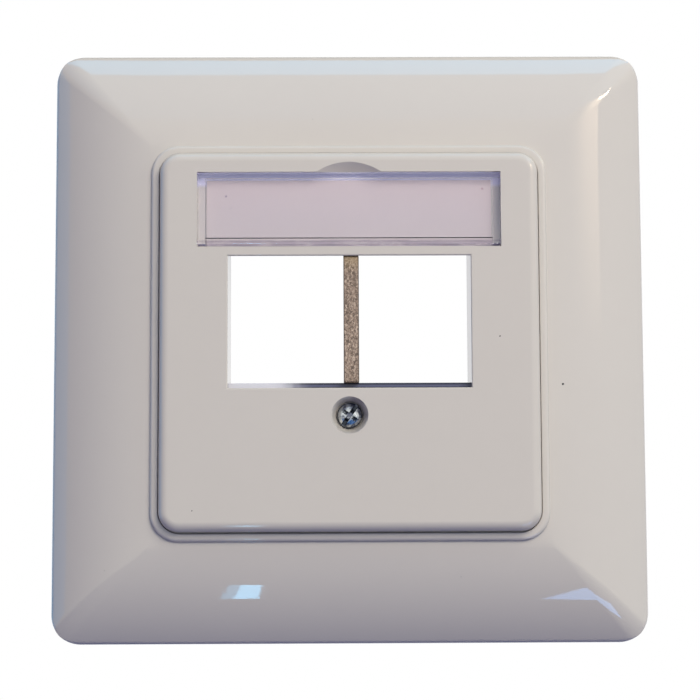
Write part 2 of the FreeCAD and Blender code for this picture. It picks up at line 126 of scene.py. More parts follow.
class FACEPLATE_PG_screw(bpy.types.PropertyGroup):
    """Sizes of the captive screw."""
    dome: length("Head dome", "Rise of the domed head above its rim", 0.45)
    rim: length("Head rim", "Height of the upright rim of the head", 0.55)
    neck: length("Neck radius", "Radius of the thinner shank under the head", 0.8)
    thread: length("Thread radius", "Outer radius of the thread", 1.0)
    thread_length: length("Thread length", "Length of the threaded end", 3.4)
    pitch: length("Pitch", "Rise of the thread in one turn", 0.4)
    slot: length("Slot width", "Width of the straight slot", 0.5)
    slot_depth: length("Slot depth", "Depth of the straight slot", 0.5)
    cross: length("Cross width", "Width of the arms of the cross recess", 0.42)
    cross_depth: length("Cross depth", "Depth of the cross recess", 1.0)
    angle: FloatProperty(name="Slot angle", description="Direction of the slot from the horizontal",
                         default=math.radians(55), subtype="ANGLE", unit="ROTATION")


class FACEPLATE_PG_finish(bpy.types.PropertyGroup):
    """Colours and gloss of the materials."""
    shell: colour("Frame plastic", "Cream white moulded plastic of the frame", (0.583, 0.535, 0.490))
    plate: colour("Plate plastic", "Cream white moulded plastic of the centre plate", (0.575, 0.525, 0.478))
    board: colour("Divider", "Brown board of the divider", (0.290, 0.205, 0.150))
    paper: colour("Label card", "Faintly lilac card behind the window", (0.533, 0.460, 0.443))
    zinc: colour("Zinc", "Plated steel of the screw", (0.520, 0.550, 0.565))
    # painted shade: the catch strip's blue-black colour stands in for the shaded inside at the foot of the
    # ports
    steel: colour("Dark steel", "Blue-black steel of the catch strip", (0.020, 0.021, 0.045))
    nylon: colour("Washer plastic", "Milky plastic of the washer", (0.700, 0.690, 0.640))
    gloss: share("Plastic roughness", "Roughness of the moulded plastic", 0.03)
    dust: share("Dust", "Amount of fine dust on the plastic", 0.5)


class FACEPLATE_PG_stage(bpy.types.PropertyGroup):
    """Light and floor."""
    key: FloatProperty(name="Key light", description="Power of the warm main light", default=2.0,
                       min=0, unit="POWER")
    key_colour: colour("Key colour", "Colour of the main light", (1.0, 0.93, 0.82))
    sky: colour("Sky", "Broad light from above and to the right, strongest along its direction",
                (0.84, 1.0, 0.88))
    sky_strength: FloatProperty(name="Sky strength", description="Strength of the broad light",
                                default=0.83, min=0)
    ambient: colour("Ambient", "Faint bluish light from all round", (0.10, 0.09, 0.24))
    floor: length("Floor", "Distance of the floor below the object's middle", 300.0)


def settings(context):
    scene = context.scene
    return scene.faceplate_frame, scene.faceplate_screw, scene.faceplate_finish, scene.faceplate_stage


def millimetres(group, *names):
    return [getattr(group, name) / MM for name in names]


# ---- surfaces from numpy grids
def upright(x, y, z):
    """Places in the frame: (x, -z, y) in metres for the drawing's (x, y, z) in millimetres."""
    x, y, z = np.broadcast_arrays(x, y, z)
    return np.stack((x, -z, y), axis=-1) * MM


def grid_faces(rows, columns, closed_rows, closed_columns):
    """Four-cornered faces between the neighbours of a grid."""
    i = np.arange(rows if closed_rows else rows - 1)[:, None]
    j = np.arange(columns if closed_columns else columns - 1)[None, :]
    after_i, after_j = (i + 1) % rows, (j + 1) % columns
    corners = (i * columns + j, after_i * columns + j, after_i * columns + after_j, i * columns + after_j)
    return np.stack([np.broadcast_to(c, (i.size, j.size)) for c in corners], axis=-1).reshape(-1, 4)


def add_object(name, data):
    """A new object at the origin, in the scene."""
    thing = bpy.data.objects.new(name, data)
    bpy.context.scene.collection.objects.link(thing)
    return thing


class Build:
    """Gathers grids and poles into one mesh."""

    def __init__(self):
        self.places, self.faces, self.count = [], [], 0

    def grid(self, places, closed_rows=False, closed_columns=True):
        """Adds a grid of places and returns its point numbers."""
        rows, columns = places.shape[:2]
        self.faces += (grid_faces(rows, columns, closed_rows, closed_columns) + self.count).tolist()
        numbers = np.arange(rows * columns).reshape(rows, columns) + self.count
        self.places.append(places.reshape(-1, 3))
        self.count += rows * columns
        return numbers

    def pole(self, place, ring, outward):
        """Closes a ring of point numbers with three-cornered faces to a single point."""
        after = np.roll(ring, -1)
        fan = (ring, after) if outward else (after, ring)
        self.places.append(np.reshape(place, (1, 3)))
        self.faces += np.stack((np.full_like(ring, self.count), *fan), axis=-1).tolist()
        self.count += 1

    def finish(self, name, sharp):
        """The finished object at the origin, smooth but for edges sharper than the given degrees."""
        mesh = bpy.data.meshes.new(name)
        mesh.from_pydata(np.concatenate(self.places).tolist(), [], self.faces)
        mesh.shade_smooth()
        mesh.set_sharp_from_angle(angle=math.radians(sharp))
        return add_object(name, mesh)


def outline_pattern():
    """Core and unit arrays of a rounded square's outline. A point is (half - corner) * core + corner *
    unit: along a side the core slides from one corner's centre to the next and the unit stands square
    to the side, and round a corner the core stays and the unit turns a quarter."""
    slide = np.linspace(-1, 1, SIDE_POINTS, endpoint=False)
    turn = np.linspace(0, math.pi / 2, BEND_POINTS, endpoint=False)
    core_x = np.ones(SIDE_POINTS + BEND_POINTS)
    core_y = np.concatenate((slide, np.ones(BEND_POINTS)))
    unit_x = np.concatenate((np.ones(SIDE_POINTS), np.cos(turn)))
    unit_y = np.concatenate((np.zeros(SIDE_POINTS), np.sin(turn)))
    core, unit = [], []
    for _ in range(4):
        core.append((core_x, core_y))
        unit.append((unit_x, unit_y))
        core_x, core_y, unit_x, unit_y = -core_y, core_x, -unit_y, unit_x
    return np.concatenate(core, axis=1), np.concatenate(unit, axis=1)


def level_lines(half, corner, z):
    """Grid of rounded squares, one row for each half side, corner radius and height."""
    core, unit = outline_pattern()
    flat, corner = (half - corner)[:, None], corner[:, None]
    return upright(flat * core[0] + corner * unit[0], flat * core[1] + corner * unit[1], z[:, None])


def arc(centre_x, centre_z, radius, start, end, count, corner, swell=0.0):
    """Rows of (half side, corner radius, height) along an arc in a section: sideways by the sine and up
    by the cosine of the slope. The corner radius swells with the sine as well."""
    slope = np.linspace(start, end, count)
    return np.stack((centre_x + radius * np.sin(slope), corner + swell * np.sin(slope),
                     centre_z + radius * np.cos(slope)))


def line(x0, z0, x1, z1, count, corner):
    """Rows of (half side, corner radius, height) along a straight line in a section."""
    return np.stack((np.linspace(x0, x1, count), np.full(count, corner), np.linspace(z0, z1, count)))


# ---- domed frame
def flank_circle(dome, collar_half, skirt, skirt_edge):
    """Middle of the flank's circle, and its slope where the edge rounding touches it from inside."""
    centre_x = collar_half - dome * math.sin(math.radians(COLLAR_SLOPE))
    width = FRAME_HALF - skirt_edge - centre_x
    slope = math.asin(width / (dome - skirt_edge))
    return centre_x, skirt - width / math.tan(slope), slope


def frame_section(shape):
    """Closed section of the frame, from the ledge up the opening's wall, over the collar, down the dome
    and the skirt and back inside. On the dome the corner radius is the outer one times the sine of the
    slope, as a ball rolled along the mitre would leave it."""
    corner, skirt, skirt_edge = millimetres(shape, "corner", "skirt", "skirt_edge")
    dome, wall = millimetres(shape, "dome", "wall")
    collar, collar_corner, collar_edge = millimetres(shape, "collar", "collar_corner", "collar_edge")
    opening, opening_corner = millimetres(shape, "opening", "opening_corner")
    ledge_top, ledge_width, ledge = millimetres(shape, "ledge_top", "ledge_width", "ledge")
    collar, opening = collar / 2, opening / 2
    flank_x, flank_z, edge_slope = flank_circle(dome, collar, skirt, skirt_edge)
    quarter = math.pi / 2
    brink, ledge_corner = 0.10, 1.0
    inner, hollow_corner = FRAME_HALF - wall, 0.6
    inside, ledge_foot = opening - ledge_width, ledge_top - ledge
    # a small inner fillet between the collar and the dome
    fillet = 0.14
    start = math.asin((collar + fillet - flank_x) / dome)
    foot = flank_z + dome * math.cos(start)
    inner_slope = math.asin((inner - flank_x) / (dome - wall))
    collar_slope = math.asin((collar - flank_x) / (dome - wall))
    hollow = arc(flank_x, flank_z, dome - wall, inner_slope, collar_slope, 24, hollow_corner)
    return np.concatenate((
        line(inside, ledge_top, inside + 0.2, ledge_top, 2, ledge_corner),
        line(opening - 0.2, ledge_top, opening, ledge_top, 2, opening_corner),
        line(opening, ledge_top + 0.1, opening, COLLAR_TOP - brink, 6, opening_corner),
        arc(opening + brink, COLLAR_TOP - brink, brink, -quarter, 0, 6, opening_corner + brink, brink)[:, 1:],
        arc(collar - collar_edge, COLLAR_TOP - collar_edge, collar_edge, 0, quarter, 12,
            collar_corner - collar_edge, collar_edge),
        arc(collar + fillet, foot + fillet, fillet, -quarter, -math.pi, 6, collar_corner + fillet, fillet),
        arc(flank_x, flank_z, dome, start + 0.0005, edge_slope, 64, 0.0, corner),
        arc(FRAME_HALF - skirt_edge, skirt, skirt_edge, edge_slope, quarter, 16, 0.0, corner)[:, 1:],
        line(FRAME_HALF, skirt - 0.3, FRAME_HALF, brink, 4, corner),
        arc(FRAME_HALF - brink, brink, brink, quarter, math.pi, 4, corner - brink, brink)[:, 1:],
        line(inner, 0.0, inner, 0.0, 1, hollow_corner),
        hollow,
        line(collar, hollow[2, -1], collar, RIB_SET_BACK, 4, collar_corner),
        line(opening, RIB_SET_BACK, opening, ledge_foot, 4, opening_corner),
        line(inside, ledge_foot, inside, ledge_foot, 1, ledge_corner)), axis=1)


def add_ribs(build, shape):
    """Upright ribs behind the dome, three on each side of the square, from the collar's wall to the
    skirt. Each row of a rib's grid is a rectangle across it at one distance from the middle."""
    dome, wall, rib, spacing = millimetres(shape, "dome", "wall", "rib", "rib_spacing")
    collar, skirt, skirt_edge = millimetres(shape, "collar", "skirt", "skirt_edge")
    flank_x, flank_z, _ = flank_circle(dome, collar / 2, skirt, skirt_edge)
    radius = dome - wall / 2
    x = np.linspace(collar / 2 - rib / 4, FRAME_HALF - wall / 2, 18)
    top = flank_z + np.sqrt(radius ** 2 - np.maximum(x - flank_x, 0) ** 2)
    bottom = np.full_like(top, RIB_SET_BACK)
    out, up = x[:, None], np.stack((bottom, bottom, top, top), axis=1)
    for place in (-spacing, 0, spacing):
        across = place + rib / 2 * np.array([-1, 1, 1, -1])[None, :]
        for cos, sin in ((1, 0), (0, 1), (-1, 0), (0, -1)):
            numbers = build.grid(upright(cos * out - sin * across, sin * out + cos * across, up))
            build.faces += [numbers[0][::-1].tolist(), numbers[-1].tolist()]


# ---- screw
def soft_step(value, start, end):
    """0 below start, 1 above end and a smooth rise between them."""
    t = np.clip((value - start) / (end - start), 0, 1)
    return t * t * (3 - 2 * t)


def head_height(x, y, shape):
    """Height of the domed head: the lowest of a ball's cap, the slot's floor and the cross's floor."""
    dome, slot, slot_depth = millimetres(shape, "dome", "slot", "slot_depth")
    cross, cross_depth = millimetres(shape, "cross", "cross_depth")
    ball = (HEAD_R ** 2 + dome ** 2) / (2 * dome)
    cap = HEAD_TOP - ball + np.sqrt(ball ** 2 - x ** 2 - y ** 2)
    along = x * math.cos(shape.angle) + y * math.sin(shape.angle)
    beside = y * math.cos(shape.angle) - x * math.sin(shape.angle)
    brim = 0.035
    in_slot = 1 - soft_step(np.abs(beside), slot / 2 - brim, slot / 2 + brim)
    slot_floor = cap - (cap - HEAD_TOP + slot_depth) * in_slot
    arm = np.minimum(np.abs(along), np.abs(beside))
    outward = np.maximum(np.abs(along), np.abs(beside))
    taper = cross_depth * np.clip((CROSS_REACH - outward) / (CROSS_REACH - cross), 0, 1)
    in_arm = 1 - soft_step(arm, cross / 2 - brim, cross / 2 + brim)
    cross_floor = cap - (taper + 0.10 * (outward < CROSS_REACH)) * in_arm
    return np.minimum(slot_floor, cross_floor)


def rings(radius, turn, height):
    """Rows of circles round the screw's axis."""
    return np.stack(np.broadcast_arrays(radius * np.cos(turn), radius * np.sin(turn), height), axis=-1)


def screw_rows(shape):
    """The screw as one surface round its axis, in rows from the crown to the tip. On the thread the
    radius of a row follows the helix, whose depth falls off at both ends."""
    dome, rim, neck, thread = millimetres(shape, "dome", "rim", "neck", "thread")
    thread_length, pitch = millimetres(shape, "thread_length", "pitch")
    turn = np.linspace(0, 2 * math.pi, ROUND_POINTS, endpoint=False)[None, :]
    rim_top, edge = HEAD_TOP - dome, 0.06
    rim_bottom = rim_top - rim
    top = SCREW_TIP + thread_length

    radius = np.linspace(0.02, HEAD_R - edge, 74)[:, None]
    x, y = radius * np.cos(turn), radius * np.sin(turn)
    face = np.stack((x, y, head_height(x, y, shape)), axis=-1)

    slope = np.linspace(0.35, math.pi / 2, 6)[:, None]
    rounding = rings(HEAD_R - edge + edge * np.sin(slope), turn, rim_top - edge + edge * np.cos(slope))
    # where the slot runs out at the rim, the rounding follows its floor
    rounding[..., 2] = np.minimum(rounding[..., 2], face[-1, :, 2][None, :] + 0.01)

    corners_r = [HEAD_R, HEAD_R, neck + 0.05, neck, neck, thread - 0.25]
    corners_z = [rim_bottom + 0.30, rim_bottom, rim_bottom - (HEAD_R - neck) + 0.05,
                 rim_bottom - (HEAD_R - neck) - 0.05, top + 0.05, top - 0.02]
    stem = rings(np.array(corners_r)[:, None], turn, np.array(corners_z)[:, None])

    z = np.arange(top - 0.04, SCREW_TIP + 0.32, -pitch / THREAD_ROWS)[:, None]
    phase = np.mod(z / pitch - turn / (2 * math.pi), 1)
    groove = np.clip(1.30 * np.abs(2 * phase - 1) - 0.12, 0, 1)
    fade = soft_step(top - z, 0, 0.35) * soft_step(z - SCREW_TIP, 0.2, 0.9)
    helix = rings(thread - THREAD_DEPTH * (1 - groove * fade), turn, z)

    tip_r = np.array([thread - 0.28, thread - 0.36, thread - 0.46, 0.1])[:, None]
    tip_z = SCREW_TIP + np.array([0.2, 0.06, 0.0, 0.0])[:, None]
    return np.concatenate((face, rounding, stem, helix, rings(tip_r, turn, tip_z)))


# ---- shader helpers
def fill(tree, sockets, values):
    """Links or sets the inputs that are named."""
    for key, value in values.items():
        if isinstance(value, bpy.types.NodeSocket):
            tree.links.new(value, sockets[key])
        else:
            sockets[key].default_value = value


def node(tree, kind, inputs=None, **settings_):
    """Adds a node, sets it up, and links or fills the inputs that are named."""
    made = tree.nodes.new(kind)
    for key, value in settings_.items():
        setattr(made, key, value)
    fill(tree, made.inputs, inputs or {})
    return made


def calc(tree, operation, first, second=0.5, third=0.5):
    """Output of a Math node."""
    return node(tree, "ShaderNodeMath", {0: first, 1: second, 2: third}, operation=operation).outputs[0]


def times(tree, first, second):
    return calc(tree, "MULTIPLY", first, second)


def apart(tree, value, middle):
    """Distance of a value from a middle one."""
    return calc(tree, "ABSOLUTE", calc(tree, "SUBTRACT", value, middle))


def vector_calc(tree, operation, first, second):
    """A Vector Math node."""
    return node(tree, "ShaderNodeVectorMath", {0: first, 1: second}, operation=operation)


def blend(tree, factor, first, second):
    """Colour output of a Mix node."""
    first, second = (tone if isinstance(tone, bpy.types.NodeSocket) else (*tone[:3], 1)
                     for tone in (first, second))
    return node(tree, "ShaderNodeMix", {"Factor": factor, 6: first, 7: second}, data_type="RGBA").outputs[2]


def tint(tree, base, mask, amount, colour_):
    """The base colour, moved towards another by a share of the mask."""
    return blend(tree, times(tree, mask, amount), base, colour_)


def span(tree, value, from_low, from_high, to_low=0.0, to_high=1.0, smooth=True):
    """Output of a clamped Map Range node."""
    inputs = {"Value": value, "From Min": from_low, "From Max": from_high,
              "To Min": to_low, "To Max": to_high}
    kind = "SMOOTHSTEP" if smooth else "LINEAR"
    return node(tree, "ShaderNodeMapRange", inputs, interpolation_type=kind).outputs["Result"]


def reach(tree, value, start, end):
    """0 to 1 between two lengths in mm."""
    return span(tree, value, start * MM, end * MM)


def noise(tree, vector, scale, detail=2.0, roughness=0.5, distortion=0.0):
    """Factor output of a Noise Texture, scale in cycles a metre."""
    return node(tree, "ShaderNodeTexNoise", {"Vector": vector, "Scale": scale, "Detail": detail,
                                             "Roughness": roughness, "Distortion": distortion}).outputs["Fac"]


def axes_of(tree, where):
    """X, Y and Z of a place."""
    return node(tree, "ShaderNodeSeparateXYZ", {0: where}).outputs


def stretched(tree, where, scale):
    return node(tree, "ShaderNodeMapping", {"Vector": where, "Scale": scale}).outputs[0]


def shaded(tree, value, tone):
    """A colour with its brightness multiplied."""
    return node(tree, "ShaderNodeHueSaturation", {"Value": value, "Color": tone}).outputs[0]


def seen_straight(tree):
    """1 for a ray from the camera, from a reflection or through clear plastic."""
    path = node(tree, "ShaderNodeLightPath").outputs
    mirrored = calc(tree, "MAXIMUM", path["Is Camera Ray"], path["Is Glossy Ray"])
    return calc(tree, "MAXIMUM", mirrored, path["Is Transmission Ray"])


KINDS = {"number": "NodeSocketFloat", "vector": "NodeSocketVector", "colour": "NodeSocketColor"}


def open_group(name, inputs, outputs):
    """A shader node group with a Vector input and named sockets, and its two end nodes."""
    tree = bpy.data.node_groups.new(name, "ShaderNodeTree")
    for label, kind, default in [("Vector", "vector", None), *inputs]:
        socket = tree.interface.new_socket(label, in_out="INPUT", socket_type=KINDS[kind])
        if default is not None:
            socket.default_value = default
    for label, kind in outputs:
        tree.interface.new_socket(label, in_out="OUTPUT", socket_type=KINDS[kind])
    return tree, tree.nodes.new("NodeGroupInput").outputs, tree.nodes.new("NodeGroupOutput").inputs


def moulding_group():
    """Moulded plastic: a broad drift of tone, a finer drift of gloss and a fine skin on the surface."""
    tree, given, out = open_group(
        "moulded_skin",
        [("Colour", "colour", (0.8, 0.8, 0.8, 1)), ("Tone", "number", 0.04), ("Tone Scale", "number", 45.0),
         ("Roughness", "number", 0.2), ("Gloss Drift", "number", 0.06), ("Skin Scale", "number", 1500.0)],
        [("Colour", "colour"), ("Roughness", "number"), ("Height", "number")])
    where, scale = given["Vector"], given["Tone Scale"]
    broad = noise(tree, where, scale, 3.0, 0.55)
    fine = noise(tree, where, times(tree, scale, 9.0))
    mixed = calc(tree, "MULTIPLY_ADD", fine, 0.35, times(tree, broad, 0.65))
    drift = calc(tree, "SUBTRACT", mixed, 0.5)
    value = calc(tree, "MULTIPLY_ADD", drift, given["Tone"], 1.0)
    tree.links.new(shaded(tree, value, given["Colour"]), out["Colour"])
    gloss = noise(tree, where, times(tree, scale, 4.0), 4.0, 0.6)
    tree.links.new(calc(tree, "MULTIPLY_ADD", calc(tree, "SUBTRACT", gloss, 0.5), given["Gloss Drift"],
                        given["Roughness"]), out["Roughness"])
    skin = noise(tree, where, given["Skin Scale"])
    wave = noise(tree, where, times(tree, scale, 3.0), 1.0)
    tree.links.new(calc(tree, "MULTIPLY_ADD", skin, 0.12, wave), out["Height"])
    return tree


def dust_group():
    """Small round grains in a few cells of a Voronoi pattern, more where a broad noise is high."""
    tree, given, out = open_group(
        "fine_dust",
        [("Scale", "number", 900.0), ("Size", "number", 0.12), ("Amount", "number", 0.1)],
        [("Mask", "number")])
    cells = node(tree, "ShaderNodeTexVoronoi", {"Vector": given["Vector"], "Scale": given["Scale"]})
    lot = node(tree, "ShaderNodeSeparateColor", {"Color": cells.outputs["Color"]}).outputs
    patch = noise(tree, given["Vector"], 70.0)
    chosen = calc(tree, "LESS_THAN", lot[0], times(tree, given["Amount"], patch))
    size = calc(tree, "MULTIPLY_ADD", lot[1], given["Size"], times(tree, given["Size"], 0.4))
    grain = span(tree, calc(tree, "DIVIDE", cells.outputs["Distance"], size), 1.0, 0.6)
    tree.links.new(times(tree, chosen, grain), out["Mask"])
    return tree


def speck_group():
    """One small speck with an uneven outline at a given place."""
    tree, given, out = open_group(
        "small_speck", [("Place", "vector", None), ("Radius", "number", 0.0003)], [("Mask", "number")])
    away = vector_calc(tree, "DISTANCE", given["Vector"], given["Place"]).outputs["Value"]
    uneven = noise(tree, given["Vector"], 5000.0)
    edge = times(tree, given["Radius"], calc(tree, "MULTIPLY_ADD", uneven, 1.2, 0.4))
    tree.links.new(span(tree, calc(tree, "DIVIDE", away, edge), 1.15, 0.7), out["Mask"])
    return tree


def scratch_group():
    """Hairline scratches: thin lines of a stretched, warped wave that a broad noise breaks up."""
    tree, given, out = open_group(
        "hairlines",
        [("Scale", "number", 90.0), ("Direction", "vector", (0, 0, 0)), ("Amount", "number", 0.3)],
        [("Mask", "number")])
    turned = node(tree, "ShaderNodeMapping", {"Vector": given["Vector"], "Rotation": given["Direction"]})
    lines = node(tree, "ShaderNodeTexWave", {"Vector": turned.outputs[0], "Scale": given["Scale"],
                                             "Distortion": 9.0, "Detail": 2.0, "Detail Scale": 0.6})
    thin = span(tree, lines.outputs["Fac"], 0.985, 1.0)
    broken = span(tree, noise(tree, given["Vector"], 160.0, 3.0), 0.56, 0.62)
    tree.links.new(times(tree, times(tree, thin, broken), given["Amount"]), out["Mask"])
    return tree


MAKERS = {"skin": moulding_group, "dust": dust_group, "speck": speck_group, "scratch": scratch_group}
GROUPS = {}


def use_group(tree, name, where, inputs):
    """Places a shared node group, which is built once, in a material with its own values."""
    if name not in GROUPS:
        GROUPS[name] = MAKERS[name]()
    return node(tree, "ShaderNodeGroup", {"Vector": where, **inputs}, node_tree=GROUPS[name]).outputs


def skin_of(tree, where, tone, inputs):
    """The moulded skin in a tone of its own."""
    return use_group(tree, "skin", where, {"Colour": (*tone, 1), **inputs})


def hairs_of(tree, where, scale, tilt, amount=1.0):
    """Mask of the hairlines, tilted about the axis into the wall."""
    inputs = {"Scale": scale, "Direction": (0, tilt, 0), "Amount": amount}
    return use_group(tree, "scratch", where, inputs)["Mask"]


def dust_of(tree, where, scale, size, amount):
    return use_group(tree, "dust", where, {"Scale": scale, "Size": size, "Amount": amount})["Mask"]


def speck_of(tree, where, place, radius):
    return use_group(tree, "speck", where, {"Place": place, "Radius": radius * MM})["Mask"]


def open_material(name):
    """A material with its Principled shader, and the surface's own coordinates."""
    made = bpy.data.materials.new(name)
    made.use_nodes = True
    tree = made.node_tree
    shader = tree.nodes["Principled BSDF"]
    where = node(tree, "ShaderNodeTexCoord").outputs["Object"]
    return made, tree, shader, where


def surface(tree, shader, tone, rough, height, strength, distance, **fixed):
    """Links a shader's colour, roughness and bump, and sets its fixed values."""
    raised = node(tree, "ShaderNodeBump", {"Strength": strength, "Distance": distance, "Height": height})
    fixed = {key.replace("_", " "): value for key, value in fixed.items()}
    fill(tree, shader.inputs, {"Base Color": tone, "Roughness": rough, "Normal": raised.outputs[0], **fixed})


def place_of(x, y, z):
    """One place of the drawing in the frame's metres."""
    return (x * MM, -z * MM, y * MM)


# ---- materials
def plastic(name, tone, finish, specks=(), painted_recess_light=None):
    """Glossy moulded plastic with dust, hairlines and specks. The last argument, where given, is painted
    light: the colour of a lilac-blue band on the top of the window's recess, behind the edge of the cover,
    standing in for light gathered by the cover's edge."""
    made, tree, shader, where = open_material(name)
    skin = skin_of(tree, where, tone, {"Tone": 0.05, "Roughness": finish.gloss, "Gloss Drift": 0.02})
    dust = dust_of(tree, where, 620.0, 0.10, 0.10 * finish.dust)
    hair = hairs_of(tree, where, 60.0, 0.6, 0.12)
    tone = tint(tree, skin["Colour"], dust, 0.35, (0.32, 0.28, 0.26))
    for x, y, z, radius in specks:
        tone = blend(tree, speck_of(tree, where, place_of(x, y, z), radius), tone, (0.030, 0.026, 0.030))
    # painted light: the top of the window's recess is tinted lilac-blue to stand in for light gathered by the
    # cover's edge; the tint is on the plate, so it stays when the cover is open
    if painted_recess_light:
        axes = axes_of(tree, where)
        out = times(tree, axes["Y"], -1.0)
        pocket = PLATE_FACE - POCKET_DEPTH
        inside = times(tree, reach(tree, out, PLATE_FACE - 0.3, PLATE_FACE - 0.9),
                       reach(tree, out, pocket - 0.4, pocket - 0.2))
        upper = times(tree, reach(tree, axes["Z"], 20.3, 21.0), reach(tree, axes["Z"], 22.4, 22.2))
        between = reach(tree, calc(tree, "ABSOLUTE", axes["X"]), WINDOW_HALF + 0.3, WINDOW_HALF + 0.1)
        tone = blend(tree, times(tree, inside, times(tree, upper, between)), tone, painted_recess_light)
    rough = calc(tree, "ADD", skin["Roughness"], times(tree, calc(tree, "ADD", dust, hair), 0.25))
    surface(tree, shader, tone, rough, skin["Height"], 0.05, 0.0002, IOR=1.5)
    return made


def glass(name):
    """Clear moulded plastic with two streaky dark lines along its lower edge, painted shade for the shaded
    band seen there.
    """
    made, tree, shader, where = open_material(name)
    skin = skin_of(tree, where, (0.950, 0.945, 1.0), {"Tone": 0.01, "Roughness": 0.02, "Gloss Drift": 0.02})
    hair = hairs_of(tree, where, 120.0, 0.3)
    streak = noise(tree, stretched(tree, where, (0.12, 1, 1)), 2600.0, 3.0, 0.6)
    height = axes_of(tree, where)["Z"]
    tone = skin["Colour"]
    # painted shade: two streaky dark lines near the lower edge stand in for the shaded band seen through the
    # cover's lower edge
    for level, strength in ((13.02, 0.75), (12.50, 0.9)):
        near = reach(tree, apart(tree, height, level * MM), 0.19, 0.08)
        tone = tint(tree, tone, near, span(tree, streak, 0.38, 0.56, 0.35, strength), (0.36, 0.33, 0.46))
    rough = calc(tree, "MULTIPLY_ADD", hair, 0.15, skin["Roughness"])
    surface(tree, shader, tone, rough, skin["Height"], 0.02, 0.0002, IOR=1.49, Transmission_Weight=1.0)
    clear = node(tree, "ShaderNodeBsdfTransparent", {"Color": (0.98, 0.98, 1.0, 1)})
    path = node(tree, "ShaderNodeLightPath").outputs
    passing = calc(tree, "MAXIMUM", path["Is Shadow Ray"], path["Is Diffuse Ray"])
    mixed = node(tree, "ShaderNodeMixShader", {0: passing, 1: shader.outputs[0], 2: clear.outputs[0]})
    tree.links.new(mixed.outputs[0], tree.nodes["Material Output"].inputs["Surface"])
    return made


def card(name, finish):
    """Thin card: paper fibre, a clouded tone, painted light that makes it lighter and warmer towards the top,
    dust and two small marks.
    """
    made, tree, shader, where = open_material(name)
    fibre = noise(tree, stretched(tree, where, (1, 1, 0.35)), 2600.0, 4.0, 0.6)
    cloud = noise(tree, where, 90.0, 3.0, 0.55)
    drift = calc(tree, "MULTIPLY_ADD", cloud, 0.07, calc(tree, "MULTIPLY_ADD", fibre, 0.05, 0.94))
    tone = shaded(tree, drift, (*finish.paper, 1))
    # painted light: the card is made lighter and warmer towards the top, against the shade under the recess's
    # top wall
    warm = reach(tree, axes_of(tree, where)["Z"], 13.5, 22.5)
    tone = tint(tree, tone, warm, 0.5, (0.700, 0.565, 0.530))
    tone = tint(tree, tone, dust_of(tree, where, 700.0, 0.12, 0.08), 0.3, (0.30, 0.26, 0.30))
    for x, y, radius, ink in ((-16.3, 19.3, 0.16, (0.22, 0.16, 0.22)),
                              (17.7, 20.25, 0.20, (0.40, 0.24, 0.26))):
        tone = tint(tree, tone, speck_of(tree, where, place_of(x, y, CARD_FACE), radius), 0.7, ink)
    surface(tree, shader, tone, span(tree, fibre, 0.3, 0.7, 0.62, 0.78), fibre, 0.15, 0.00004)
    return made


def board(name, finish):
    """Pressed brown board: dark and pale mottle, yellower near the top and dark along its sides."""
    made, tree, shader, where = open_material(name)
    mottle = noise(tree, stretched(tree, where, (1, 1, 0.7)), 4300.0, 2.0, 0.6, 0.8)
    broad = noise(tree, where, 260.0)
    base = shaded(tree, calc(tree, "MULTIPLY_ADD", broad, 0.5, 0.75), (*finish.board, 1))
    base = tint(tree, base, span(tree, mottle, 0.50, 0.36), 0.85, (0.085, 0.060, 0.040))
    base = tint(tree, base, span(tree, mottle, 0.52, 0.66), 0.8, (0.60, 0.47, 0.36))
    axes = axes_of(tree, where)
    base = tint(tree, base, reach(tree, axes["Z"], 8.5, 11.2), 0.35, (0.42, 0.30, 0.12))
    left, right = low("port_divider", 0), high("port_divider", 0)
    half = (right - left) / 2
    edge = reach(tree, apart(tree, axes["X"], (left + right) / 2 * MM), half - 0.16, half - 0.06)
    base = tint(tree, base, edge, 0.75, (0.045, 0.032, 0.022))
    surface(tree, shader, base, span(tree, mottle, 0.3, 0.7, 0.65, 0.85), mottle, 0.4, 0.00012)
    return made


def recess_shade_mask(tree, where, shape):
    """How far a place lies in the recess of the head, where shade is painted: its depth under the ball that
    the domed top is cut from, faded out below the head's rim."""
    dome, rim = millimetres(shape, "dome", "rim")
    ball = (HEAD_R ** 2 + dome ** 2) / (2 * dome)
    away = vector_calc(tree, "DISTANCE", where, place_of(0, SCREW_Y, HEAD_TOP - ball)).outputs["Value"]
    deep = reach(tree, away, ball - 0.03, ball - 0.14)
    rim_bottom = HEAD_TOP - dome - rim
    out = times(tree, axes_of(tree, where)["Y"], -1.0)
    return times(tree, deep, reach(tree, out, rim_bottom, rim_bottom + 0.3))


